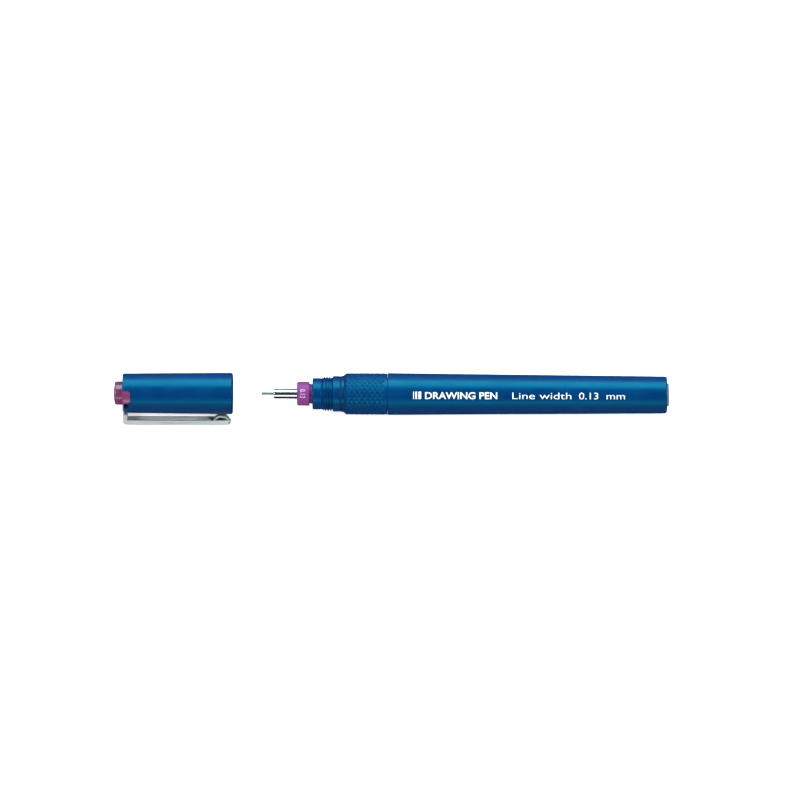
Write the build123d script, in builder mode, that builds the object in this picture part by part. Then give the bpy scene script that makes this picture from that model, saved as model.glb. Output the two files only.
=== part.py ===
from build123d import *

import os
from math import cos, radians, sin

# A technical pen with its cap off, lying along X. Millimetres.
# X = 0 is the front shoulder of the nib shaft, on the pen's axis. +X runs to the tail, +Z is up.

os.makedirs("parts", exist_ok=True)

# Clearance on the radius between parts fixed to each other, and round the tail plug.
fit = 0.01
tail_plug_fit = 0.02

# ---- writing tube, nib shaft and nib body ----
needle_r = 0.44
needle_bore_r = 0.08
needle_tip = -4.1
needle_root = 4.0
wire_r = 0.05
wire_tip = -4.02
shaft_r = 1.6
shaft_chamfer = 0.2
shaft_root = 12.5
shaft_root_r = 1.4
shaft_bore_r = 0.8
collar_start = 7.0
collar_end = 10.9
collar_r = 3.77
collar_chamfer = 0.35
neck_r = 3.06
neck_end = 11.8
nib_body_r = 2.8
nib_body_end = 24.0
chamber_r = 1.9
chamber_start = 12.5
retainer_seat = 22.0
retainer_r = 2.15
retainer_end = 24.8
ink_inlet_r = 0.6
air_groove_count = 6
air_groove_pitch = 1.25
air_groove_width = 0.55
air_groove_depth = 0.45
air_groove_start = 14.2
nib_ring_x = 12.4
nib_ring_r = 2.5
nib_ring_wire_r = 0.27
weight_start = 14.0
weight_end = 20.0
weight_r = 1.6
weight_nose = 0.8

# ---- holder, grip and their rings ----
holder_start = 11.85
nose_r = 4.9
nose_chamfer = 0.3
thread_start = 14.95
thread_end = 18.15
thread_root_r = 4.95
thread_crest_r = 5.375
thread_pitch = 0.8
thread_ridge_count = 4
thread_crest_width = 0.25
thread_foot_width = 0.65
ring_end = 20.4
ring_r = 5.55
groove_end = 20.9
groove_r = 5.1
shoulder_end = 21.7
shoulder_r = 5.68
core_r = 5.4
core_end = 35.2
barrel_thread_r = 5.15
barrel_thread_end = 40.0
barrel_ring_x = 35.6
barrel_ring_r = 4.98
ring_wire_r = 0.22
cap_ring_r = 5.34
holder_bore_r = 2.88
holder_bore_end = 25.3
ink_bore_r = 1.6
spigot_r = 3.0
spigot_end = 46.5
grip_start = shoulder_end
grip_end = 35.3
grip_r = 6.47
grip_band_r = 6.4
grip_band = 0.8
grip_chamfer = 0.6

# ---- barrel ----
barrel_start = 35.35
barrel_end = 122.6
barrel_front_r = 6.55
barrel_tail_r = 5.8
barrel_corner = 0.55
insert_end = 41.2
insert_r = 5.7
insert_bore_r = 5.25
barrel_bore_front_r = 5.3
barrel_bore_tail_r = 4.75
barrel_floor = 120.4
tail_plug_r = 3.55
tail_plug_start = 119.9
tail_plug_cup_r = 2.6
tail_plug_cup_end = 121.6
tail_plug_proud = 0.6
tail_dome = 0.15

# ---- ink cartridge ----
cartridge_neck_start = 40.4
cartridge_neck_end = 47.2
cartridge_neck_r = 3.9
cartridge_neck_bore_r = 3.06
cartridge_shoulder = 0.9
cartridge_r = 4.4
cartridge_bore_r = 3.9
cartridge_end_x = 98.0
cartridge_end_wall = 1.4
cartridge_end_chamfer = 0.35
cartridge_ring_r = 4.7
cartridge_ring_start = 41.6
cartridge_ring_end = 45.4

# ---- cap: its closed end is at -47.45 and its mouth at -13.05 ----
cap_end = -47.45
cap_mouth = -13.05
cap_end_r = 6.175
cap_mouth_r = 6.5
cap_corner = 0.35
cap_floor = -44.75
cap_hub_r = 3.75
liner_bore_r = 5.4
liner_seat_end = -22.85
cap_thread_r = 5.475
cap_thread_depth = 0.14
cap_thread_end = -16.55
cap_counterbore_r = 5.8
mouth_chamfer = 0.35
liner_r = 5.38
liner_inner_r = 4.45
liner_lip_r = 4.0
liner_lip_start = -28.7
liner_front = -23.05

# ---- end plug of the cap: a button and one bar that shows as two tongues ----
plug_end = -50.25
plug_r = 3.67
plug_dome = 0.3
plug_corner = 0.55
plug_corner_r = 0.58
plug_stem_r = 2.3
plug_stem_end = -43.05
plug_groove_start = -47.52
plug_groove_end = -46.65
plug_groove_r = 3.15
tongue_angle = 24.6
tongue_width = 4.06
tongue_end = -45.0
tongue_corner = 0.8
slot_gap = 0.06

# ---- seal inside the cap ----
cup_back = -41.4
cup_front = -28.75
cup_r = 4.35
cup_waist_r = 3.3
cup_flange_back = 0.95
cup_flange_front = 1.8
cup_bore_r = 1.95
cup_floor = 1.0
pad_r = 1.9
pad_thickness = 1.15
lip_front = -27.75
lip_inner_r = 2.0
lip_outer_r = 3.6
lip_bevel = 0.3
spring_wire_r = 0.18
spring_r = 2.9
spring_start = -44.5
spring_end = -41.65
spring_turns = 4

# ---- clip: a channel at clip_angle from +Z, turned towards -Y ----
clip_angle = 116.5
clip_sheet = 0.35
clip_half_width = 2.5
clip_web_r = 9.68
clip_flange_r = 8.15
clip_leg_r = 6.4
clip_leg_depth = 1.4
clip_corner = 0.8
clip_edge_round = 0.3
clip_neck_half_width = 2.1
clip_tip = -13.65
clip_tip_bend = 0.7
foot_inner_r = 3.3
foot_outer_r = 5.75
foot_start_angle = 46.0
foot_end_angle = 137.0
foot_bar_gap = 0.35
notch_start_angle = 43.0
notch_end_angle = 144.0
notch_depth = 0.65
window_end_angle = 60.0
window_depth = 1.8
spring_tongue_half_width = 1.75
tongue_fold_reach = 0.47
tongue_fold_r = 0.4
tongue_knee_back = 1.6
tongue_knee_r = 7.4
tongue_knee_bend = 0.9
tongue_arch_back = 3.7
tongue_arch_r = 6.95
tongue_arch_bend = 1.6
tongue_curl_back = 6.0
tongue_curl_r = 8.88
tongue_curl_bend = 0.5
tongue_end_back = 6.9
tongue_end_r = 7.88
far_out = 8.0


def cap_outer_r(x):
    """Radius of the cap's outside at x, on its straight taper."""
    return cap_end_r + (cap_mouth_r - cap_end_r) * (x - cap_end) / (cap_mouth - cap_end)


def dome_radius(rim_r, height):
    """Radius of the sphere whose cap has this rim radius and this height."""
    return (rim_r**2 + height**2) / (2 * height)


def turn(*corners, mode=Mode.ADD):
    """Turn a closed outline of (x, radius) corners about the pen's axis."""
    with BuildSketch(Plane.XZ) as section:
        with BuildLine():
            Polyline(*corners, close=True)
        make_face()
    revolve(section.sketch, axis=Axis.X, mode=mode)


def turn_box(start, end, inner_r, outer_r, mode=Mode.ADD):
    """Turn a rectangle from start to end along X, between two radii."""
    turn((start, inner_r), (end, inner_r), (end, outer_r), (start, outer_r), mode=mode)


def turn_ring(x, ring_centre_r, section_r):
    """A ring of round section about the pen's axis."""
    with BuildSketch(Plane.XZ) as section:
        with Locations((x, ring_centre_r)):
            Circle(section_r)
    revolve(section.sketch, axis=Axis.X)


def around(angle):
    """Unit direction at angle degrees from +Z, turned towards -Y, as (y, z)."""
    return (-sin(radians(angle)), cos(radians(angle)))


def sector(start_angle, end_angle, inner_r, outer_r, start, length, mode=Mode.ADD):
    """A ring sector across the pen's axis, between two angles, extruded along X."""
    with BuildSketch(Plane.YZ.offset(start)) as section:
        with BuildLine():
            middle = (start_angle + end_angle) / 2
            start_way = Vector(*around(start_angle))
            middle_way = Vector(*around(middle))
            end_way = Vector(*around(end_angle))
            ThreePointArc(start_way * inner_r, middle_way * inner_r, end_way * inner_r)
            Line(end_way * inner_r, end_way * outer_r)
            ThreePointArc(end_way * outer_r, middle_way * outer_r, start_way * outer_r)
            Line(start_way * outer_r, start_way * inner_r)
        make_face()
    extrude(section.sketch, amount=length, mode=mode)


def tongue_bar(width, start, end, mode=Mode.ADD):
    """A bar right across the cap's end, in line with the two tongues."""
    with BuildSketch(Plane.YZ.offset(start)) as section:
        Rectangle(width, 2 * far_out, rotation=tongue_angle)
    extrude(section.sketch, amount=end - start, mode=mode)


# ---- nib element ----
with BuildPart() as needle_tube:
    turn_box(needle_tip, needle_root, needle_bore_r, needle_r)

with BuildPart() as cleaning_wire:
    turn_box(wire_tip, weight_start, 0, wire_r)

with BuildPart() as nib_shaft:
    turn(
        (-shaft_chamfer, needle_r + fit),
        (-shaft_chamfer, shaft_r - shaft_chamfer),
        (0, shaft_r),
        (collar_start, shaft_r),
        (collar_start, shaft_root_r),
        (shaft_root, shaft_root_r),
        (shaft_root, shaft_bore_r),
        (needle_root, shaft_bore_r),
        (needle_root, needle_r + fit),
    )

with BuildPart() as nib_body:
    turn(
        (collar_start, shaft_root_r + fit),
        (collar_start, collar_r - collar_chamfer),
        (collar_start + collar_chamfer, collar_r),
        (collar_end, collar_r),
        (collar_end, neck_r),
        (neck_end, neck_r),
        (neck_end, nib_body_r),
        (nib_body_end, nib_body_r),
        (nib_body_end, retainer_r + fit),
        (retainer_seat, retainer_r + fit),
        (retainer_seat, chamber_r),
        (chamber_start, chamber_r),
        (chamber_start, shaft_root_r + fit),
    )
    turn_box(
        nib_ring_x - nib_ring_wire_r, nib_ring_x + nib_ring_wire_r,
        nib_ring_r - nib_ring_wire_r, neck_r, mode=Mode.SUBTRACT,
    )
    for turn_number in range(air_groove_count):
        groove_x = air_groove_start + turn_number * air_groove_pitch
        turn_box(
            groove_x, groove_x + air_groove_width,
            nib_body_r - air_groove_depth, neck_r, mode=Mode.SUBTRACT,
        )

with BuildPart() as nib_seal_ring:
    turn_ring(nib_ring_x, nib_ring_r, nib_ring_wire_r)

with BuildPart() as drop_weight:
    turn(
        (weight_start, 0),
        (weight_start, weight_r - weight_nose),
        (weight_start + weight_nose, weight_r),
        (weight_end, weight_r),
        (weight_end, 0),
    )

with BuildPart() as weight_retainer:
    turn_box(retainer_seat, nib_body_end, ink_inlet_r, retainer_r)
    turn_box(nib_body_end, retainer_end, ink_inlet_r, nib_body_r)

# ---- holder, grip and rings ----
with BuildPart() as nib_holder:
    turn(
        (holder_start, holder_bore_r),
        (holder_start, nose_r - nose_chamfer),
        (holder_start + nose_chamfer, nose_r),
        (thread_start, nose_r),
        (thread_start, thread_root_r),
        (thread_end, thread_root_r),
        (thread_end, ring_r),
        (ring_end, ring_r),
        (ring_end, groove_r),
        (groove_end, groove_r),
        (groove_end, shoulder_r),
        (shoulder_end, shoulder_r),
        (shoulder_end, core_r),
        (core_end, core_r),
        (core_end, barrel_thread_r),
        (barrel_thread_end, barrel_thread_r),
        (barrel_thread_end, spigot_r),
        (spigot_end, spigot_r),
        (spigot_end, ink_bore_r),
        (holder_bore_end, ink_bore_r),
        (holder_bore_end, holder_bore_r),
    )
    for ridge_number in range(thread_ridge_count):
        ridge_x = thread_start + (ridge_number + 1 / 2) * thread_pitch
        turn(
            (ridge_x - thread_foot_width / 2, thread_root_r),
            (ridge_x - thread_crest_width / 2, thread_crest_r),
            (ridge_x + thread_crest_width / 2, thread_crest_r),
            (ridge_x + thread_foot_width / 2, thread_root_r),
        )
    turn_box(
        barrel_ring_x - ring_wire_r, barrel_ring_x + ring_wire_r,
        barrel_ring_r - ring_wire_r, core_r, mode=Mode.SUBTRACT,
    )

with BuildPart() as grip_sleeve:
    turn(
        (grip_start, core_r + fit),
        (grip_start, grip_r - grip_chamfer),
        (grip_start + grip_chamfer, grip_r),
        (grip_end - grip_band, grip_r),
        (grip_end - grip_band, grip_band_r),
        (grip_end, grip_band_r),
        (grip_end, core_r + fit),
    )

with BuildPart() as cap_seal_ring:
    turn_ring((ring_end + groove_end) / 2, cap_ring_r, ring_wire_r)

with BuildPart() as barrel_seal_ring:
    turn_ring(barrel_ring_x, barrel_ring_r, ring_wire_r)

# ---- barrel ----
with BuildPart() as barrel:
    turn(
        (barrel_start, insert_r + fit),
        (barrel_start, barrel_front_r),
        (barrel_end, barrel_tail_r),
        (barrel_end, tail_plug_r + tail_plug_fit),
        (barrel_floor, tail_plug_r + tail_plug_fit),
        (barrel_floor, barrel_bore_tail_r),
        (insert_end, barrel_bore_front_r),
        (insert_end, insert_r + fit),
    )
    tail_edges = barrel.edges().filter_by(GeomType.CIRCLE).group_by(Axis.X)[-1]
    fillet(tail_edges.sort_by(SortBy.RADIUS)[-1], radius=barrel_corner)

with BuildPart() as barrel_insert:
    turn_box(barrel_start, insert_end, insert_bore_r, insert_r)

tail_face = barrel_end + tail_plug_proud
with BuildPart() as tail_plug:
    with BuildSketch(Plane.XZ):
        with BuildLine():
            Polyline(
                (tail_face + tail_dome, 0),
                (tail_plug_cup_end, 0),
                (tail_plug_cup_end, tail_plug_cup_r),
                (tail_plug_start, tail_plug_cup_r),
                (tail_plug_start, tail_plug_r),
                (tail_face, tail_plug_r),
            )
            RadiusArc(
                (tail_face, tail_plug_r),
                (tail_face + tail_dome, 0),
                radius=dome_radius(tail_plug_r, tail_dome),
            )
        make_face()
    revolve(axis=Axis.X)

# ---- ink cartridge ----
with BuildPart() as cartridge_tube:
    turn(
        (cartridge_neck_start, cartridge_neck_bore_r),
        (cartridge_neck_start, cartridge_neck_r),
        (cartridge_neck_end, cartridge_neck_r),
        (cartridge_neck_end + cartridge_shoulder, cartridge_r),
        (cartridge_end_x, cartridge_r),
        (cartridge_end_x, cartridge_bore_r),
        (cartridge_neck_end + cartridge_shoulder, cartridge_bore_r),
        (cartridge_neck_end, cartridge_neck_bore_r),
    )

with BuildPart() as cartridge_end:
    turn_box(cartridge_end_x - cartridge_end_wall, cartridge_end_x, 0, cartridge_bore_r - fit)
    rear_edges = cartridge_end.edges().filter_by(GeomType.CIRCLE).group_by(Axis.X)[-1]
    chamfer(rear_edges, length=cartridge_end_chamfer)

with BuildPart() as cartridge_ring:
    turn_box(cartridge_ring_start, cartridge_ring_end, cartridge_neck_r + fit, cartridge_ring_r)

# ---- cap shell ----
with BuildPart() as cap_shell:
    turn(
        (cap_end, cap_hub_r),
        (cap_end, cap_end_r),
        (cap_mouth - mouth_chamfer, cap_outer_r(cap_mouth - mouth_chamfer)),
        (cap_mouth, cap_mouth_r - mouth_chamfer),
        (cap_mouth, cap_counterbore_r),
        (cap_thread_end, cap_counterbore_r),
        (cap_thread_end, cap_thread_r),
        (liner_seat_end, cap_thread_r),
        (liner_seat_end, liner_bore_r),
        (cap_floor, liner_bore_r),
        (cap_floor, cap_hub_r),
    )
    end_edges = cap_shell.edges().filter_by(GeomType.CIRCLE).group_by(Axis.X)[0]
    fillet(end_edges.sort_by(SortBy.RADIUS)[-1], radius=cap_corner)
    for groove_number in range(thread_ridge_count):
        groove_x = cap_thread_end - (groove_number + 1) * thread_pitch
        turn_box(
            groove_x, groove_x + thread_foot_width / 2,
            thread_root_r, cap_thread_r + cap_thread_depth, mode=Mode.SUBTRACT,
        )
    tongue_bar(tongue_width + 2 * slot_gap, cap_end, tongue_end + slot_gap, mode=Mode.SUBTRACT)
    sector(
        notch_start_angle, notch_end_angle, cap_hub_r - slot_gap, far_out,
        cap_end, notch_depth, mode=Mode.SUBTRACT,
    )
    sector(
        notch_start_angle, window_end_angle, cap_hub_r - slot_gap, far_out,
        cap_end, window_depth, mode=Mode.SUBTRACT,
    )

with BuildPart() as cap_liner:
    turn(
        (cap_floor, liner_inner_r),
        (cap_floor, liner_r),
        (liner_front, liner_r),
        (liner_front, liner_lip_r),
        (liner_lip_start, liner_lip_r),
        (liner_lip_start, liner_inner_r),
    )

# ---- end plug ----
with BuildPart() as cap_end_plug:
    tongue_bar(tongue_width, cap_end, tongue_end)
    bar_edges = cap_end_plug.faces().sort_by(Axis.X)[-1].edges().sort_by(SortBy.LENGTH)[-2:]
    fillet(bar_edges, radius=tongue_corner)
    turn(
        (cap_end, 0),
        (cap_end, cap_end_r - cap_corner),
        (cap_end + cap_corner, cap_outer_r(cap_end + cap_corner)),
        (tongue_end, cap_outer_r(tongue_end)),
        (tongue_end, 0),
        mode=Mode.INTERSECT,
    )
    with BuildSketch(Plane.XZ):
        with BuildLine():
            RadiusArc(
                (plug_end, 0),
                (plug_end + plug_dome, plug_r - plug_corner),
                radius=dome_radius(plug_r - plug_corner, plug_dome),
            )
            RadiusArc(
                (plug_end + plug_dome, plug_r - plug_corner),
                (plug_end + plug_dome + plug_corner, plug_r),
                radius=plug_corner_r,
            )
            Polyline(
                (plug_end + plug_dome + plug_corner, plug_r),
                (tongue_end, plug_r),
                (cap_floor, plug_stem_r),
                (plug_stem_end, plug_stem_r),
                (plug_stem_end, 0),
                (plug_end, 0),
            )
        make_face()
    revolve(axis=Axis.X)
    turn_box(plug_groove_start, plug_groove_end, plug_groove_r, plug_r + slot_gap, mode=Mode.SUBTRACT)

# ---- seal ----
with BuildPart() as seal_cup:
    turn(
        (cup_back, 0),
        (cup_back, cup_r),
        (cup_back + cup_flange_back, cup_r),
        (cup_back + cup_flange_back, cup_waist_r),
        (cup_front - cup_flange_front, cup_waist_r),
        (cup_front - cup_flange_front, cup_r),
        (cup_front, cup_r),
        (cup_front, cup_bore_r),
        (cup_back + cup_floor, cup_bore_r),
        (cup_back + cup_floor, 0),
    )

with BuildPart() as seal_pad:
    turn_box(cup_back + cup_floor, cup_back + cup_floor + pad_thickness, 0, pad_r)

with BuildPart() as seal_lip:
    turn(
        (cup_front, lip_inner_r),
        (cup_front, lip_outer_r),
        (lip_front - lip_bevel, lip_outer_r),
        (lip_front, lip_outer_r - lip_bevel),
        (lip_front, lip_inner_r),
    )

spring_pitch = (spring_end - spring_start) / spring_turns
with BuildPart() as seal_spring:
    with BuildLine():
        coil = Helix(
            pitch=spring_pitch,
            height=spring_end - spring_start,
            radius=spring_r,
            center=(spring_start, 0, 0),
            direction=(1, 0, 0),
        )
    with BuildSketch(Plane(origin=coil @ 0, z_dir=coil % 0)):
        Circle(spring_wire_r)
    sweep(is_frenet=True)

# ---- clip: one pressed strip, from the foot under the end plug to the spring tongue ----
outward = Vector(0, *around(clip_angle))
clip_plane = Plane(origin=(0, 0, 0), x_dir=(1, 0, 0), z_dir=Vector(1, 0, 0).cross(outward))
web_inside_r = clip_web_r - clip_sheet
leg_inside = cap_end + clip_sheet
inner_corner = clip_corner - clip_sheet / 2
neck_length = 2 * (clip_leg_r - foot_outer_r) + clip_sheet

with BuildPart() as clip:
    with BuildSketch(clip_plane):
        with BuildLine():
            Polyline(
                (cap_end, clip_leg_r),
                (cap_end, clip_web_r - clip_corner),
                (cap_end + clip_corner, clip_web_r),
                (clip_tip - clip_tip_bend, clip_web_r),
                (clip_tip - clip_tip_bend, clip_flange_r),
                (cap_end + clip_leg_depth, clip_flange_r),
                (cap_end + clip_leg_depth, clip_leg_r),
                close=True,
            )
        make_face()
    extrude(amount=clip_half_width, both=True)
    long_edges = clip.edges().filter_by(Axis.X).sort_by(lambda edge: edge.center().dot(outward))
    fillet(long_edges[-2:], radius=clip_edge_round)
    with BuildSketch(clip_plane):
        with BuildLine():
            Polyline(
                (leg_inside, clip_leg_r - clip_sheet),
                (leg_inside, web_inside_r - inner_corner),
                (leg_inside + inner_corner, web_inside_r),
                (clip_tip, web_inside_r),
                (clip_tip, clip_leg_r - clip_sheet),
                close=True,
            )
        make_face()
    extrude(amount=clip_half_width - clip_sheet, both=True, mode=Mode.SUBTRACT)
    # The foot goes in through the shell's notch and round the end plug, clear of the plug's bar.
    sector(foot_start_angle, foot_end_angle, foot_inner_r, foot_outer_r, cap_end, clip_sheet)
    tongue_bar(tongue_width + 2 * foot_bar_gap, cap_end, leg_inside, mode=Mode.SUBTRACT)
    with BuildSketch(Plane.YZ.offset(cap_end)):
        with Locations((outward.Y * foot_outer_r, outward.Z * foot_outer_r)):
            Rectangle(2 * clip_neck_half_width, neck_length, rotation=clip_angle)
    extrude(amount=clip_sheet)
    # The spring tongue folds back from the tip, arches towards the cap and curls at its free end.
    with BuildSketch(clip_plane):
        with BuildLine():
            FilletPolyline(
                (clip_tip - 2 * clip_tip_bend, clip_web_r - clip_sheet / 2),
                (clip_tip - clip_sheet / 2 + tongue_fold_reach, clip_web_r - clip_sheet / 2),
                (clip_tip - tongue_knee_back, tongue_knee_r),
                (clip_tip - tongue_arch_back, tongue_arch_r),
                (clip_tip - tongue_curl_back, tongue_curl_r),
                (clip_tip - tongue_end_back, tongue_end_r),
                radius=[tongue_fold_r, tongue_knee_bend, tongue_arch_bend, tongue_curl_bend],
            )
        trace(line_width=clip_sheet)
    extrude(amount=spring_tongue_half_width, both=True)

pieces = {
    "needle_tube": needle_tube,
    "cleaning_wire": cleaning_wire,
    "nib_shaft": nib_shaft,
    "nib_body": nib_body,
    "nib_seal_ring": nib_seal_ring,
    "drop_weight": drop_weight,
    "weight_retainer": weight_retainer,
    "nib_holder": nib_holder,
    "grip_sleeve": grip_sleeve,
    "cap_seal_ring": cap_seal_ring,
    "barrel_seal_ring": barrel_seal_ring,
    "barrel": barrel,
    "barrel_insert": barrel_insert,
    "tail_plug": tail_plug,
    "cartridge_tube": cartridge_tube,
    "cartridge_end": cartridge_end,
    "cartridge_ring": cartridge_ring,
    "cap_shell": cap_shell,
    "cap_liner": cap_liner,
    "cap_end_plug": cap_end_plug,
    "seal_cup": seal_cup,
    "seal_pad": seal_pad,
    "seal_lip": seal_lip,
    "seal_spring": seal_spring,
    "clip": clip,
}
for name, piece in pieces.items():
    piece.part.label = name
    export_step(piece.part, f"parts/{name}.step")
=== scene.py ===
import math

import bmesh
import bpy
from mathutils import Matrix, Quaternion, Vector


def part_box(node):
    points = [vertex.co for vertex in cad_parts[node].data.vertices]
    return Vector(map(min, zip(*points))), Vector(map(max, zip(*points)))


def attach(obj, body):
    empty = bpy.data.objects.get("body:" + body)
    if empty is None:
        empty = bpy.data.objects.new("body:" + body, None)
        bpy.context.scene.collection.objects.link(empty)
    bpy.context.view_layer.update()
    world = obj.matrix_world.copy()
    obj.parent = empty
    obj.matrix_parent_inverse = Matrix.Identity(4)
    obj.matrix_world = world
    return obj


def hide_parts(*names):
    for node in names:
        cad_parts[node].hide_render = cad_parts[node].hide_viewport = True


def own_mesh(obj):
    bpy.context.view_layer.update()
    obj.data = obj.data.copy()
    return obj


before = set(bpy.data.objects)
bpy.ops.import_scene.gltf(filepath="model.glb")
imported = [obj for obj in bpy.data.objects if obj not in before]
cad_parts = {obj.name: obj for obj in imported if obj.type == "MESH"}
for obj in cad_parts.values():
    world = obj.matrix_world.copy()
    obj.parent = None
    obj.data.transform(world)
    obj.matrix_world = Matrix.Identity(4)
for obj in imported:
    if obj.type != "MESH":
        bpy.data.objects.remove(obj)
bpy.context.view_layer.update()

# Outlines are drawn in millimetres, as (x, radius) about the pen's axis, and scaled to metres here.
MM = 0.001


# ---------------------------------------------------------------- places, read from the frame
def ends(node):
    """Lowest x, highest x and outer radius of a round node, in millimetres."""
    low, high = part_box(node)
    return low.x / MM, high.x / MM, (high.z - low.z) / 2 / MM


NEEDLE_TIP, NEEDLE_ROOT, NEEDLE_R = ends("needle_tube")
SHAFT_FACE, SHAFT_ROOT, SHAFT_R = ends("nib_shaft")
COLLAR_FACE, NIB_END, COLLAR_R = ends("nib_body")
HOLDER_FACE, SPIGOT_END, SHOULDER_R = ends("nib_holder")
GRIP_FACE, GRIP_END, GRIP_R = ends("grip_sleeve")
BARREL_FACE, BARREL_END, BARREL_R = ends("barrel")
INSERT_FACE, INSERT_END, INSERT_R = ends("barrel_insert")
TAIL_FACE, TAIL_END, TAIL_R = ends("tail_plug")
CAP_END, CAP_MOUTH, CAP_R = ends("cap_shell")
FLOOR_Z = -BARREL_R * MM

# Sizes in millimetres that the frame's boxes don't give.
BARREL_TAIL_R = 5.8
SHAFT_HIDDEN_R = 1.4
FIT = 0.01


# ---------------------------------------------------------------- mesh tools
def new_object(name, mesh):
    piece = bpy.data.objects.new(name, mesh)
    bpy.context.scene.collection.objects.link(piece)
    return piece


def finish_shading(piece, sharp_degrees=38):
    """Smooth shading, split at real edges, with the flat faces kept flat beside their softened edges."""
    mesh = piece.data
    mesh.polygons.foreach_set("use_smooth", [True] * len(mesh.polygons))
    mesh.set_sharp_from_angle(angle=math.radians(sharp_degrees))
    weighted = piece.modifiers.new("weighted_normals", "WEIGHTED_NORMAL")
    weighted.keep_sharp = True
    weighted.weight = 60


def softened(corners, steps=4):
    """Closed outline with each (x, r, soft) corner rounded to the radius soft."""
    outline = []
    count = len(corners)
    for i, (x, r, soft) in enumerate(corners):
        here = Vector((x, r))
        back = Vector(corners[i - 1][:2]) - here
        on = Vector(corners[(i + 1) % count][:2]) - here
        if soft <= 0 or back.length == 0 or on.length == 0:
            outline.append(here)
            continue
        half = back.angle(on) / 2
        reach = min(soft / math.tan(half), back.length * 0.49, on.length * 0.49)
        radius = reach * math.tan(half)
        centre = here + (back.normalized() + on.normalized()).normalized() * (radius / math.sin(half))
        first = here + back.normalized() * reach - centre
        last = here + on.normalized() * reach - centre
        sweep = first.angle_signed(last)
        for step in range(steps + 1):
            turned = Matrix.Rotation(-sweep * step / steps, 2) @ first
            outline.append(centre + turned)
    return [(p.x, max(p.y, 0.0)) for p in outline]


def lathe(name, outline, around=160, shape=None):
    """Turns a closed outline of (x, r), in millimetres, about X. shape(x, r, angle) may change r."""
    mesh_points = []
    rings = []
    for x, r in outline:
        if r <= 1e-6:
            rings.append([len(mesh_points)] * around)
            mesh_points.append((x * MM, 0.0, 0.0))
            continue
        ring = []
        for k in range(around):
            angle = 2 * math.pi * k / around
            bent = shape(x, r, angle) if shape else r
            ring.append(len(mesh_points))
            mesh_points.append((x * MM, -bent * MM * math.sin(angle), bent * MM * math.cos(angle)))
        rings.append(ring)
    faces = []
    for i, ring in enumerate(rings):
        following = rings[(i + 1) % len(rings)]
        for k in range(around):
            corner_loop = [ring[k], ring[(k + 1) % around], following[(k + 1) % around], following[k]]
            face = list(dict.fromkeys(corner_loop))
            if len(face) > 2:
                faces.append(face)
    mesh = bpy.data.meshes.new(name)
    mesh.from_pydata(mesh_points, [], faces)
    tidy_mesh(mesh)
    piece = new_object(name, mesh)
    finish_shading(piece)
    return piece


def tidy_mesh(mesh):
    work = bmesh.new()
    work.from_mesh(mesh)
    bmesh.ops.remove_doubles(work, verts=work.verts, dist=1e-7)
    bmesh.ops.recalc_face_normals(work, faces=work.faces)
    work.to_mesh(mesh)
    work.free()
    mesh.update()


def softened_copy(node, name, width, segments=3, flat_degrees=0.5):
    """A new piece with a node's shape, its triangles joined into flat faces and its edges rounded."""
    work = bmesh.new()
    work.from_mesh(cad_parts[node].data)
    bmesh.ops.remove_doubles(work, verts=work.verts, dist=2e-6)
    flat = math.radians(flat_degrees)
    bmesh.ops.dissolve_limit(
        work, angle_limit=flat, verts=work.verts, edges=work.edges, delimit={"NORMAL"}
    )
    bmesh.ops.recalc_face_normals(work, faces=work.faces)
    mesh = bpy.data.meshes.new(name)
    work.to_mesh(mesh)
    work.free()
    piece = new_object(name, mesh)
    bevel = piece.modifiers.new("edge_round", "BEVEL")
    bevel.width = width * MM
    bevel.segments = segments
    bevel.limit_method = "ANGLE"
    bevel.angle_limit = math.radians(38)
    bevel.harden_normals = False
    finish_shading(piece, 45)
    return piece


def steps_between(start, end, count):
    return [start + (end - start) * i / count for i in range(count + 1)]


def eased(value):
    """0 to 1 with a smooth start and finish."""
    return value * value * (3 - 2 * value)


def from_middle(t):
    """0 halfway between whole numbers, 1 at each whole number."""
    return abs(t - math.floor(t) - 0.5) * 2


def place(piece, body, node, material):
    """The piece stands for a CAD node, or adds to it if node is None, and rides on body."""
    piece.data.materials.clear()
    piece.data.materials.append(material)
    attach(piece, body)
    if node:
        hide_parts(node)
    return piece


# ---------------------------------------------------------------- materials
PLASTIC_IOR = 1.55
EDGE_SHADE = (0.45, 0.46, 0.48)


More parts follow.
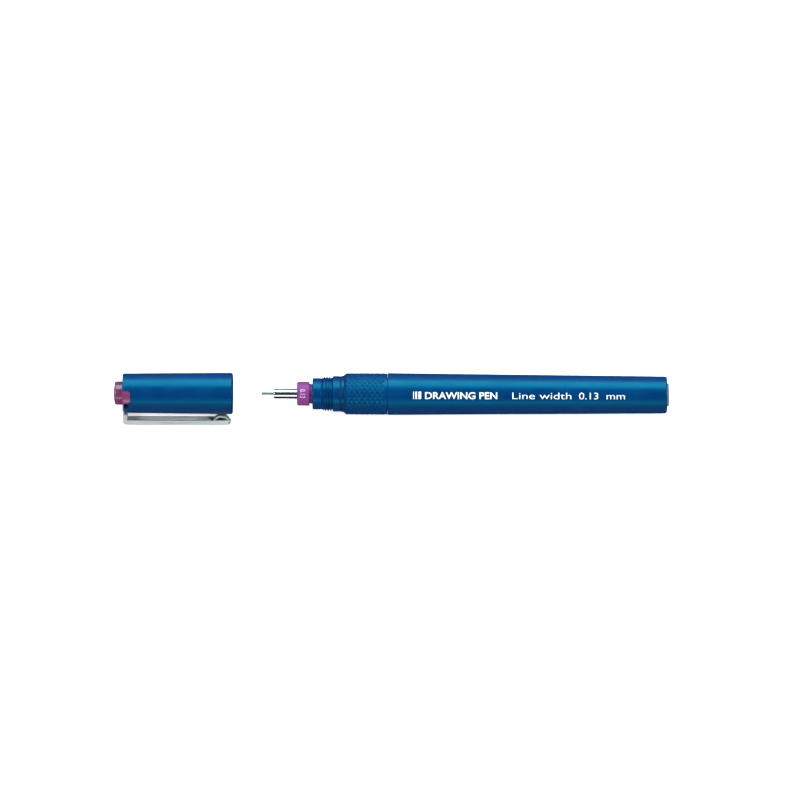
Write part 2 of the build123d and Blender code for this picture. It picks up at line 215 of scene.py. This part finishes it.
class Surface:
    """A procedural material: one Principled shader fed by noise in the piece's own coordinates."""

    def __init__(self, name, **sockets):
        self.material = bpy.data.materials.new(name)
        self.material.use_nodes = True
        self.tree = self.material.node_tree
        self.shader = self.tree.nodes["Principled BSDF"]
        self.coordinates = self.tree.nodes.new("ShaderNodeTexCoord").outputs["Object"]
        for socket, value in sockets.items():
            self.shader.inputs[socket.replace("_", " ")].default_value = value

    def node(self, kind, **inputs):
        made = self.tree.nodes.new(kind)
        for socket, value in inputs.items():
            target = made.inputs[socket.replace("_", " ")]
            if isinstance(value, bpy.types.NodeSocket):
                self.tree.links.new(value, target)
            else:
                target.default_value = value
        return made

    def stretched(self, scale):
        return self.node("ShaderNodeMapping", Vector=self.coordinates, Scale=scale).outputs["Vector"]

    def noise(self, scale, detail=4.0, stretch=None, rough=0.5):
        vector = self.stretched(stretch) if stretch else self.coordinates
        made = self.node("ShaderNodeTexNoise", Vector=vector, Scale=scale, Detail=detail)
        made.inputs["Roughness"].default_value = rough
        return made.outputs["Fac"]

    def ranged(self, value, low, high, start=0.3, end=0.7):
        made = self.node("ShaderNodeMapRange", Value=value)
        made.inputs["From Min"].default_value = start
        made.inputs["From Max"].default_value = end
        made.inputs["To Min"].default_value = low
        made.inputs["To Max"].default_value = high
        return made.outputs["Result"]

    def colours(self, value, first, second, start=0.3, end=0.7):
        ramp = self.node("ShaderNodeValToRGB", Fac=value)
        ramp.color_ramp.elements[0].position = start
        ramp.color_ramp.elements[0].color = (*first, 1)
        ramp.color_ramp.elements[1].position = end
        ramp.color_ramp.elements[1].color = (*second, 1)
        return ramp.outputs["Color"]

    def mixed(self, factor, first, second):
        made = self.tree.nodes.new("ShaderNodeMix")
        made.data_type = "RGBA"
        for index, value in ((0, factor), (6, first), (7, second)):
            target = made.inputs[index]
            if isinstance(value, bpy.types.NodeSocket):
                self.tree.links.new(value, target)
            else:
                target.default_value = value
        return made.outputs[2]

    def feed(self, socket, value):
        self.tree.links.new(value, self.shader.inputs[socket])

    def bump(self, height, strength, distance_mm):
        made = self.node("ShaderNodeBump", Height=height, Strength=strength, Distance=distance_mm * MM)
        self.feed("Normal", made.outputs["Normal"])


def scaled(colour, factor):
    return tuple(min(1.0, c * factor) for c in colour)


def moulded_plastic(name, colour, roughness, glint=(1.0, 1.0, 1.0), wear=0.10, **sockets):
    """Glossy moulded plastic: colour drift, uneven polish, fine scuffs along X. glint tints highlights."""
    surface = Surface(name, Specular_Tint=(*glint, 1), IOR=PLASTIC_IOR, **sockets)
    drift = surface.noise(90.0, 3.0)
    base = surface.colours(drift, scaled(colour, 0.93), scaled(colour, 1.07))
    scuffs = surface.noise(1400.0, 5.0, stretch=(0.06, 1.0, 1.0), rough=0.65)
    scuff_mask = surface.ranged(scuffs, 0.0, wear, 0.60, 0.78)
    pale = tuple(min(1.0, c * 1.6 + 0.02) for c in colour)
    surface.feed("Base Color", surface.mixed(scuff_mask, base, (*pale, 1)))
    polish = surface.noise(260.0, 4.0)
    surface.feed("Roughness", surface.ranged(polish, roughness * 0.85, roughness * 1.18))
    grain = surface.noise(5200.0, 2.0)
    surface.bump(grain, 0.12, 0.01)
    return surface.material


def metal(
    name, colour, roughness, stretch, scale=900.0, streak=0.25, depth=0.12, metallic=1.0, edge=EDGE_SHADE
):
    """Worked metal: fine marks drawn out along or round the piece, which vary its polish and its tone."""
    surface = Surface(name, Metallic=metallic, Specular_Tint=(*edge, 1))
    marks = surface.noise(scale, 6.0, stretch=stretch, rough=0.7)
    surface.feed("Base Color", surface.colours(marks, scaled(colour, 1 - streak), colour))
    surface.feed("Roughness", surface.ranged(marks, roughness * 0.7, roughness * 1.5))
    surface.bump(marks, depth, 0.01)
    return surface.material


def rubber(name, colour):
    surface = Surface(name)
    dust = surface.noise(700.0, 5.0)
    surface.feed("Base Color", surface.colours(dust, colour, scaled(colour, 2.2)))
    surface.feed("Roughness", surface.ranged(dust, 0.62, 0.85))
    surface.bump(surface.noise(3800.0, 3.0), 0.3, 0.02)
    return surface.material


def milky_plastic(name, colour, transmission):
    surface = Surface(name, Transmission_Weight=transmission, IOR=1.49)
    cloud = surface.noise(180.0, 4.0)
    surface.feed("Base Color", surface.colours(cloud, scaled(colour, 0.9), colour))
    surface.feed("Roughness", surface.ranged(surface.noise(500.0, 4.0), 0.22, 0.38))
    surface.bump(surface.noise(2600.0, 3.0), 0.06, 0.005)
    return surface.material


def printed_ink(name, colour):
    surface = Surface(name)
    thin = surface.noise(4200.0, 4.0)
    surface.feed("Base Color", surface.colours(thin, scaled(colour, 0.82), colour, 0.25, 0.6))
    surface.feed("Roughness", surface.ranged(thin, 0.4, 0.6))
    surface.bump(thin, 0.2, 0.005)
    return surface.material


BLUE = (0.0008, 0.021, 0.100)
CYAN_GLINT = (0.0, 0.80, 0.95)
ALONG = (0.04, 1.0, 1.0)
AROUND = (1.0, 0.05, 0.05)

barrel_blue = moulded_plastic("barrel_blue", BLUE, 0.36, CYAN_GLINT)
cap_blue = moulded_plastic("cap_blue", BLUE, 0.36, CYAN_GLINT)
holder_blue = moulded_plastic("holder_blue", BLUE, 0.32, CYAN_GLINT)
grip_blue = moulded_plastic("grip_blue", BLUE, 0.36, CYAN_GLINT, wear=0.2)
collar_violet = moulded_plastic(
    "collar_violet", (0.172, 0.033, 0.155), 0.30, (0.42, 0.20, 0.40), wear=0.05
)
plug_magenta = moulded_plastic(
    "plug_magenta", (0.17, 0.032, 0.100), 0.17, (1.0, 0.95, 1.0), wear=0.08
)
dark_plastic = moulded_plastic("dark_plastic", (0.010, 0.013, 0.030), 0.45, wear=0.05)
grey_plastic = moulded_plastic("grey_plastic", (0.16, 0.17, 0.19), 0.45)
natural_plastic = milky_plastic("natural_plastic", (0.40, 0.385, 0.34), 0.05)
cartridge_plastic = milky_plastic("cartridge_plastic", (0.34, 0.38, 0.38), 0.10)
clip_steel = metal("clip_steel", (0.66, 0.70, 0.72), 0.36, ALONG, streak=0.34, metallic=0.7)
# The shaft's near-black edge tint is painted shade: it darkens the steel's reflection at grazing angles,
# drawing dark rims along the shaft's edges where the real rims would reflect shadow.
shaft_steel = metal(
    "shaft_steel", (0.86, 0.87, 0.88), 0.12, AROUND, depth=0.06, streak=0.1, edge=(0.05, 0.05, 0.055)
)
needle_steel = metal("needle_steel", (0.17, 0.17, 0.172), 0.70, ALONG, metallic=0.4)
spring_steel = metal("spring_steel", (0.62, 0.62, 0.64), 0.28, AROUND)
weight_brass = metal("weight_brass", (0.72, 0.55, 0.27), 0.25, AROUND)
black_rubber = rubber("black_rubber", (0.0015, 0.004, 0.012))
white_ink = printed_ink("white_ink", (0.86, 0.90, 0.93))
pink_ink = printed_ink("pink_ink", (0.62, 0.40, 0.62))


# ---------------------------------------------------------------- barrel and its tail
def make_barrel():
    wall = 1.0
    hole_r = TAIL_R + 0.02
    hole_depth = 2.2
    insert_lap = 0.4
    outline = softened([
        (BARREL_FACE, INSERT_R + FIT, 0.08),
        (BARREL_FACE, BARREL_R, 0.16),
        (BARREL_END, BARREL_TAIL_R, 0.55),
        (BARREL_END, hole_r, 0.08),
        (BARREL_END - hole_depth, hole_r, 0.05),
        (BARREL_END - hole_depth, BARREL_TAIL_R - wall, 0.3),
        (INSERT_END, INSERT_R - insert_lap, 0.0),
        (INSERT_END, INSERT_R + FIT, 0.0),
    ], 6)
    return place(lathe("barrel_tube", outline, 256), "barrel", "barrel", barrel_blue)


def make_tail_plug():
    dome = 0.15
    rim = 0.12
    cup_r = 2.6
    cup_floor = TAIL_END - 1.6
    face = [(TAIL_END - dome * (r / TAIL_R) ** 2, r) for r in steps_between(0.0, TAIL_R - rim, 10)]
    outline = face + [
        (TAIL_END - dome - 0.06, TAIL_R - 0.05),
        (TAIL_END - dome - 0.16, TAIL_R),
        (TAIL_FACE + 0.15, TAIL_R),
        (TAIL_FACE, TAIL_R - 0.15),
        (TAIL_FACE, cup_r),
        (cup_floor, cup_r),
        (cup_floor, 0.0),
    ]
    return place(lathe("tail_button", outline, 160), "barrel", "tail_plug", grey_plastic)


make_barrel()
make_tail_plug()


# ---------------------------------------------------------------- knurled grip
def make_grip():
    """Two sets of crossing spiral ridges, with a pit in each diamond between them."""
    pitch_x = 1.62
    pits_around = 18
    depth = 0.30
    front_bevel = 0.6
    knurl_start = GRIP_FACE + 0.75
    knurl_end = GRIP_END - 0.95
    bore = 5.41
    band_r = GRIP_R - 0.07
    valley = 0.30
    slope = 0.55
    fade = 0.3
    points_a_pit = 18

    def ridge(t):
        return max(0.0, min(1.0, (from_middle(t) - valley) / slope))

    def shape(x, r, angle):
        if r < band_r - 0.02 or not knurl_start - 0.4 < x < knurl_end + 0.4:
            return r
        u = (x - knurl_start) / pitch_x
        v = angle * pits_around / (2 * math.pi)
        height = max(ridge(u + v), ridge(u - v))
        edge = min(1.0, max(0.0, (x - knurl_start) / fade), max(0.0, (knurl_end - x) / fade))
        return r - depth * (1 - eased(height)) * edge

    rows = int((knurl_end - knurl_start) / pitch_x * points_a_pit)
    outline = softened([
        (GRIP_FACE, bore, 0.05),
        (GRIP_FACE, GRIP_R - front_bevel, 0.12),
        (GRIP_FACE + front_bevel, GRIP_R, 0.12),
    ], 3)
    outline += [(x, GRIP_R) for x in steps_between(knurl_start, knurl_end, rows)]
    outline += softened([
        (knurl_end + 0.1, GRIP_R, 0.0),
        (knurl_end + 0.14, band_r, 0.0),
        (GRIP_END, band_r, 0.1),
        (GRIP_END, bore, 0.05),
    ], 3)
    piece = lathe("grip_knurled", outline, pits_around * points_a_pit, shape)
    return place(piece, "holder", "grip_sleeve", grip_blue)


make_grip()


# ---------------------------------------------------------------- holder with its two screw threads
def thread_height(x, angle, start, end, pitch, lead_in=0.5):
    """0 in the thread's valley to 1 on its crest, fading at its two ends."""
    valley = 0.30
    slope = 0.38
    t = (x - start) / pitch - angle / (2 * math.pi)
    crest = max(0.0, min(1.0, (from_middle(t) - valley) / slope))
    fade = min(1.0, max(0.0, (x - start) / lead_in), max(0.0, (end - x) / lead_in))
    return eased(crest) * fade


def make_holder():
    nose_r = 4.9
    root_r = 4.93
    crest_r = 5.375
    thread_start = HOLDER_FACE + 3.1
    thread_end = thread_start + 3.2
    ring_start = thread_end + 0.05
    ring_end = HOLDER_FACE + 8.55
    ring_r = 5.55
    groove_end = HOLDER_FACE + 9.05
    groove_r = 5.1
    pitch = 0.80
    core_r = 5.39
    rear_start = GRIP_END - 0.1
    rear_end = rear_start + 4.8
    rear_r = 5.15
    rear_pitch = 1.0
    rear_depth = 0.22
    spigot_r = 3.0
    ink_bore_r = 1.6
    nib_bore_r = 2.9
    nib_bore_end = HOLDER_FACE + 13.45

    def shape(x, r, angle):
        if r > root_r - 0.01 and thread_start < x < thread_end:
            return r + (crest_r - root_r) * thread_height(x, angle, thread_start, thread_end, pitch)
        if r > rear_r - 0.01 and rear_start + 1.0 < x < rear_end - 0.3:
            crest = thread_height(x, angle, rear_start + 0.5, rear_end, rear_pitch, 0.2)
            return r - rear_depth * (1 - crest)
        return r

    outline = softened([
        (HOLDER_FACE, nib_bore_r, 0.1),
        (HOLDER_FACE, nose_r, 0.35),
        (thread_start - 0.1, nose_r, 0.1),
    ], 4)
    outline += [(x, root_r) for x in steps_between(thread_start, thread_end, 64)]
    outline += softened([
        (ring_start, root_r, 0.05),
        (ring_start, ring_r, 0.16),
        (ring_end, ring_r, 0.10),
        (ring_end, groove_r, 0.0),
        (groove_end, groove_r, 0.0),
        (groove_end, SHOULDER_R, 0.10),
        (GRIP_FACE, SHOULDER_R, 0.0),
        (GRIP_FACE, core_r, 0.0),
        (rear_start, core_r, 0.1),
        (rear_start, rear_r, 0.0),
    ], 4)
    outline += [(x, rear_r) for x in steps_between(rear_start + 0.7, rear_end - 0.3, 60)]
    outline += softened([
        (rear_end, rear_r - 0.15, 0.1),
        (rear_end, spigot_r, 0.1),
        (SPIGOT_END, spigot_r, 0.25),
        (SPIGOT_END, ink_bore_r, 0.1),
        (nib_bore_end, ink_bore_r, 0.0),
        (nib_bore_end, nib_bore_r, 0.0),
    ], 4)
    piece = lathe("holder_threaded", outline, 192, shape)
    return place(piece, "holder", "nib_holder", holder_blue)


make_holder()


# ---------------------------------------------------------------- nib element
def make_nib_body():
    neck_r = 3.06
    body_r = 2.8
    collar_chamfer = 0.35
    collar_end = COLLAR_FACE + 3.9
    neck_end = collar_end + 0.9
    groove_start = neck_end + 0.33
    groove_end = neck_end + 0.87
    groove_r = 2.23
    channel_start = neck_end + 2.2
    channel_end = NIB_END - 1.2
    channel_pitch = 1.25
    channel_depth = 0.45
    chamber_r = 1.9
    seat_r = 2.16
    seat_start = NIB_END - 2.0

    def shape(x, r, angle):
        if r > body_r - 0.01 and channel_start < x < channel_end:
            crest = thread_height(x, angle, channel_start, channel_end, channel_pitch, 0.3)
            return r - channel_depth * (1 - crest)
        return r

    outline = softened([
        (COLLAR_FACE, SHAFT_HIDDEN_R + FIT, 0.02),
        (COLLAR_FACE, COLLAR_R - collar_chamfer, 0.10),
        (COLLAR_FACE + collar_chamfer, COLLAR_R, 0.12),
        (collar_end, COLLAR_R, 0.15),
        (collar_end, neck_r, 0.10),
        (neck_end, neck_r, 0.08),
        (neck_end, body_r, 0.0),
        (groove_start, body_r, 0.0),
        (groove_start, groove_r, 0.0),
        (groove_end, groove_r, 0.0),
        (groove_end, body_r, 0.0),
    ], 4)
    outline += [(x, body_r) for x in steps_between(channel_start - 0.2, channel_end + 0.2, 110)]
    outline += softened([
        (NIB_END, body_r, 0.1),
        (NIB_END, seat_r, 0.05),
        (seat_start, seat_r, 0.0),
        (seat_start, chamber_r, 0.0),
        (SHAFT_ROOT, chamber_r, 0.0),
        (SHAFT_ROOT, SHAFT_HIDDEN_R + FIT, 0.0),
    ], 3)
    piece = lathe("nib_collar_and_body", outline, 160, shape)
    return place(piece, "nib", "nib_body", collar_violet)


def make_shaft():
    ink_bore_r = 0.8
    outline = softened([
        (SHAFT_FACE, NEEDLE_R + FIT, 0.04),
        (SHAFT_FACE, SHAFT_R, 0.22),
        (COLLAR_FACE, SHAFT_R, 0.02),
        (COLLAR_FACE, SHAFT_HIDDEN_R, 0.0),
        (SHAFT_ROOT, SHAFT_HIDDEN_R, 0.05),
        (SHAFT_ROOT, ink_bore_r, 0.0),
        (NEEDLE_ROOT, ink_bore_r, 0.0),
        (NEEDLE_ROOT, NEEDLE_R + FIT, 0.0),
    ], 5)
    return place(lathe("shaft_turned", outline, 128), "nib", "nib_shaft", shaft_steel)


def make_needle():
    bore = 0.08
    outline = softened([
        (NEEDLE_TIP, bore, 0.02),
        (NEEDLE_TIP, NEEDLE_R - 0.03, 0.05),
        (SHAFT_FACE - 0.5, NEEDLE_R - 0.02, 0.1),
        (SHAFT_FACE - 0.2, NEEDLE_R, 0.1),
        (NEEDLE_ROOT, NEEDLE_R, 0.0),
        (NEEDLE_ROOT, bore, 0.0),
    ], 4)
    return place(lathe("needle_drawn", outline, 48), "nib", "needle_tube", needle_steel)


make_nib_body()
make_shaft()
make_needle()

# ---------------------------------------------------------------- cap, end plug and clip
CAP_EDGE = 0.05
PLUG_EDGE = 0.07
shell = softened_copy("cap_shell", "cap_moulding", CAP_EDGE)
place(shell, "cap", "cap_shell", cap_blue)
end_plug = softened_copy("cap_end_plug", "end_plug_moulding", PLUG_EDGE)
place(end_plug, "cap", "cap_end_plug", plug_magenta)
pressing = softened_copy("clip", "clip_pressing", CAP_EDGE)
place(pressing, "clip", "clip", clip_steel)


# ---------------------------------------------------------------- spring behind the cap's seal
def make_seal_spring():
    """A coil between the cap's end and the seal, built at the length of its CAD box; nothing here shortens
    it as the seal is pressed back.
    """
    wire_r = 0.18 * MM
    turns = 4
    steps_a_turn = 48
    wire_sides = 12
    low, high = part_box("seal_spring")
    coil_r = (high.z - low.z) / 2 - wire_r
    start = low.x + wire_r
    length = high.x - low.x - 2 * wire_r
    rise = length / (2 * math.pi * turns)
    steps = turns * steps_a_turn
    mesh_points = []
    for i in range(steps + 1):
        angle = 2 * math.pi * i / steps_a_turn
        out = Vector((0.0, -math.sin(angle), math.cos(angle)))
        along = Vector((rise, -coil_r * math.cos(angle), -coil_r * math.sin(angle))).normalized()
        across = along.cross(out)
        centre = Vector((start + length * i / steps, 0.0, 0.0)) + out * coil_r
        for k in range(wire_sides):
            turned = 2 * math.pi * k / wire_sides
            mesh_points.append(centre + (out * math.cos(turned) + across * math.sin(turned)) * wire_r)
    faces = [list(range(wire_sides)), list(range(steps * wire_sides, (steps + 1) * wire_sides))]
    for i in range(steps):
        for k in range(wire_sides):
            near = i * wire_sides + k
            beside = i * wire_sides + (k + 1) % wire_sides
            faces.append([near, beside, beside + wire_sides, near + wire_sides])
    mesh = bpy.data.meshes.new("spring_coil")
    mesh.from_pydata(mesh_points, [], faces)
    tidy_mesh(mesh)
    piece = new_object("spring_coil", mesh)
    finish_shading(piece)
    place(piece, "cap", "seal_spring", spring_steel)
    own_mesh(piece)


make_seal_spring()

# ---------------------------------------------------------------- CAD nodes that keep their shape
carried_over = {
    "cleaning_wire": spring_steel,
    "nib_seal_ring": black_rubber,
    "drop_weight": weight_brass,
    "weight_retainer": natural_plastic,
    "cap_seal_ring": black_rubber,
    "barrel_seal_ring": black_rubber,
    "barrel_insert": dark_plastic,
    "cartridge_tube": cartridge_plastic,
    "cartridge_end": cartridge_plastic,
    "cartridge_ring": natural_plastic,
    "cap_liner": dark_plastic,
    "seal_cup": natural_plastic,
    "seal_pad": black_rubber,
    "seal_lip": black_rubber,
}
for node, material in carried_over.items():
    for material_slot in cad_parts[node].material_slots:
        material_slot.material = material


# ---------------------------------------------------------------- print
def text_mesh(name, words, height, body_thickness, weight=0.0):
    """Letters of the given capital height in millimetres, flat in XY, starting at x = 0."""
    capital_share = 0.73
    curve = bpy.data.curves.new(name, "FONT")
    curve.body = words
    curve.size = height / capital_share
    curve.align_x = "LEFT"
    curve.extrude = body_thickness / 2
    curve.offset = weight
    curve.resolution_u = 4
    holder = new_object(name + "_curve", curve)
    dependencies = bpy.context.evaluated_depsgraph_get()
    mesh = bpy.data.meshes.new_from_object(holder.evaluated_get(dependencies))
    mesh.name = name
    bpy.data.objects.remove(holder)
    bpy.data.curves.remove(curve)
    return mesh


def wrap_on_axis(mesh, radius_at, place_point):
    """Bends a flat mesh (millimetres) round the pen. place_point(u, v) gives (x, angle); z lifts it."""
    longest_edge = 0.35
    work = bmesh.new()
    work.from_mesh(mesh)
    long_edges = [edge for edge in work.edges if edge.calc_length() > longest_edge]
    bmesh.ops.subdivide_edges(work, edges=long_edges, cuts=3, use_grid_fill=True)
    bmesh.ops.triangulate(work, faces=work.faces)
    for vertex in work.verts:
        x, angle = place_point(vertex.co.x, vertex.co.y)
        r = radius_at(x) + vertex.co.z
        vertex.co = Vector((x, -r * math.sin(angle), r * math.cos(angle))) * MM
    bmesh.ops.recalc_face_normals(work, faces=work.faces)
    work.to_mesh(mesh)
    work.free()


def barrel_surface_r(x):
    return BARREL_R + (BARREL_TAIL_R - BARREL_R) * (x - BARREL_FACE) / (BARREL_END - BARREL_FACE)


PRINT_ANGLE = math.radians(14.0)
COLLAR_PRINT_ANGLE = math.radians(10.0)
PRINT_THICKNESS = 0.012
PRINT_HEIGHT = 2.2


def print_on_barrel(name, words, start, end, height, weight=0.0):
    """Prints words along the barrel from x = start, stretched or squeezed to reach end."""
    mesh = text_mesh(name, words, height, PRINT_THICKNESS, weight)
    left = min(v.co.x for v in mesh.vertices)
    width = max(v.co.x for v in mesh.vertices) - left
    stretch = (end - start) / width

    def place_point(u, v):
        x = start + (u - left) * stretch
        return x, PRINT_ANGLE - (v - height / 2) / barrel_surface_r(x)

    wrap_on_axis(mesh, barrel_surface_r, place_point)
    place(new_object(name, mesh), "barrel", None, white_ink)


def flat_quads(rectangles):
    """A flat mesh of rectangles (left, right, low, high) with the print's thickness."""
    rows = 6
    work = bmesh.new()
    for left, right, low_edge, high_edge in rectangles:
        centre = Vector(((left + right) / 2, (low_edge + high_edge) / 2, 0.0))
        size = Vector((right - left, high_edge - low_edge, PRINT_THICKNESS))
        bmesh.ops.create_cube(work, size=1.0, matrix=Matrix.LocRotScale(centre, None, size))
    upright = [edge for edge in work.edges if abs(edge.verts[0].co.y - edge.verts[1].co.y) > 0.1]
    bmesh.ops.subdivide_edges(work, edges=upright, cuts=rows, use_grid_fill=True)
    mesh = bpy.data.meshes.new("bars")
    work.to_mesh(mesh)
    work.free()
    return mesh


def print_mark():
    """Three upright bars, each thicker than the one before, for the pen's line width."""
    height = 2.3
    start = 43.3
    gap = 0.45
    bars = []
    left = 0.0
    for thickness in (0.25, 0.5, 0.85):
        bars.append((left, left + thickness, 0.0, height))
        left += thickness + gap
    mesh = flat_quads(bars)

    def place_point(u, v):
        x = start + u
        return x, PRINT_ANGLE - (v - height / 2) / barrel_surface_r(x)

    wrap_on_axis(mesh, barrel_surface_r, place_point)
    place(new_object("print_mark", mesh), "barrel", None, white_ink)


def print_on_collar():
    """The line width, read from the writing end, across the collar."""
    height = 1.7
    width = 2.7
    from_face = 1.0
    mesh = text_mesh("print_collar_number", "0.13", height, PRINT_THICKNESS, 0.01)
    low_u = min(v.co.x for v in mesh.vertices)
    high_u = max(v.co.x for v in mesh.vertices)
    squeeze = width / (high_u - low_u)

    def place_point(u, v):
        along = (u - (low_u + high_u) / 2) * squeeze
        return COLLAR_FACE + from_face + v, COLLAR_PRINT_ANGLE + along / COLLAR_R

    wrap_on_axis(mesh, lambda x: COLLAR_R, place_point)
    place(new_object("print_collar_number", mesh), "nib", None, pink_ink)


print_mark()
print_on_collar()
print_on_barrel("print_kind", "DRAWING PEN", 47.0, 69.5, PRINT_HEIGHT, 0.045)
print_on_barrel("print_width_words", "Line width", 74.2, 92.6, PRINT_HEIGHT, -0.02)
print_on_barrel("print_width_number", "0.13", 95.0, 101.0, PRINT_HEIGHT, -0.01)
print_on_barrel("print_unit", "mm", 103.6, 109.3, PRINT_HEIGHT, -0.02)


# ---------------------------------------------------------------- floor, light, camera
def studio():
    white = Surface("studio_floor", Roughness=0.9, Emission_Strength=0.45)
    white.feed("Base Color", white.colours(white.noise(6.0, 2.0), (0.90, 0.90, 0.90), (0.93, 0.93, 0.93)))
    size = 3.0
    mesh = bpy.data.meshes.new("floor")
    corner_points = [(x * size, y * size, FLOOR_Z) for x, y in ((-1, -1), (1, -1), (1, 1), (-1, 1))]
    mesh.from_pydata(corner_points, [], [(0, 1, 2, 3)])
    floor = new_object("floor", mesh)
    floor.data.materials.append(white.material)
    floor.visible_glossy = False

    world = bpy.data.worlds.new("studio_world")
    bpy.context.scene.world = world
    world.use_nodes = True
    tree = world.node_tree
    direction = tree.nodes.new("ShaderNodeTexCoord").outputs["Generated"]
    height = tree.nodes.new("ShaderNodeSeparateXYZ")
    tree.links.new(direction, height.inputs["Vector"])

    def ramp(first, last, between=()):
        made = tree.nodes.new("ShaderNodeValToRGB")
        stops = made.color_ramp.elements
        for stop, (position, colour) in zip(stops, (first, last)):
            stop.position = position
            stop.color = (*colour, 1)
        for position, colour in between:
            stops.new(position).color = (*colour, 1)
        return made

    below = (0.0, (0.02, 0.03, 0.045))
    horizon = (0.35, (0.50, 0.53, 0.56))
    overhead = (0.93, (0.03, 0.035, 0.04))
    sky = ramp(below, overhead, [horizon])
    tree.links.new(height.outputs["Z"], sky.inputs["Fac"])
    behind = ramp((0.84, (0.0, 0.0, 0.0)), (0.97, (0.22, 0.48, 0.60)))
    above = tree.nodes.new("ShaderNodeMapRange")
    above.inputs["From Min"].default_value = -0.05
    above.inputs["From Max"].default_value = 0.12
    tree.links.new(height.outputs["Z"], above.inputs["Value"])
    raised = tree.nodes.new("ShaderNodeMath")
    raised.operation = "MULTIPLY"
    tree.links.new(height.outputs["Y"], raised.inputs[0])
    tree.links.new(above.outputs["Result"], raised.inputs[1])
    tree.links.new(raised.outputs["Value"], behind.inputs["Fac"])
    both = tree.nodes.new("ShaderNodeMix")
    both.data_type = "RGBA"
    both.blend_type = "ADD"
    both.inputs[0].default_value = 1.0
    tree.links.new(sky.outputs["Color"], both.inputs[6])
    tree.links.new(behind.outputs["Color"], both.inputs[7])
    tree.links.new(both.outputs[2], tree.nodes["Background"].inputs["Color"])

    middle = Vector((0.035, 0, 0))

    def softbox(name, position, size_x, size_y, power, colour=(1.0, 1.0, 1.0)):
        data = bpy.data.lights.new(name, "AREA")
        data.shape = "RECTANGLE"
        data.size = size_x
        data.size_y = size_y
        data.energy = power
        data.color = colour
        lamp = bpy.data.objects.new(name, data)
        lamp.location = Vector(position)
        lamp.rotation_mode = "QUATERNION"
        lamp.rotation_quaternion = (middle - Vector(position)).to_track_quat("-Z", "Y")
        bpy.context.scene.collection.objects.link(lamp)

    softbox("key_back", (0.04, 0.53, 0.43), 1.2, 0.50, 10.5, (0.70, 0.97, 1.0))
    softbox("fill_front", (0.04, -0.61, 0.36), 1.2, 0.20, 2.0)
    softbox("side_left", (-0.75, -0.10, 0.85), 0.25, 0.30, 7)
    softbox("side_right", (0.83, -0.10, 0.85), 0.25, 0.30, 7)


def camera():
    """Looks down on the pen from the clip's side, with the pen's length level in the view."""
    elevation = math.radians(79.5)
    width = 0.250
    lens = 300.0
    data = bpy.data.cameras.new("camera")
    data.sensor_width = 36.0
    data.lens = lens
    distance = width * lens / data.sensor_width
    roll = math.radians(0.2)
    target = Vector((0.0392, -0.0019, 0.0))
    back = Vector((0, -math.cos(elevation), math.sin(elevation)))
    view = bpy.data.objects.new("camera", data)
    view.location = target + back * distance
    view.rotation_mode = "QUATERNION"
    view.rotation_quaternion = (-back).to_track_quat("-Z", "Y") @ Quaternion((0, 0, 1), roll)
    data.clip_start = 0.05
    data.clip_end = 20
    bpy.context.scene.collection.objects.link(view)
    bpy.context.scene.camera = view


studio()
camera()
bpy.context.scene.view_settings.view_transform = "Standard"
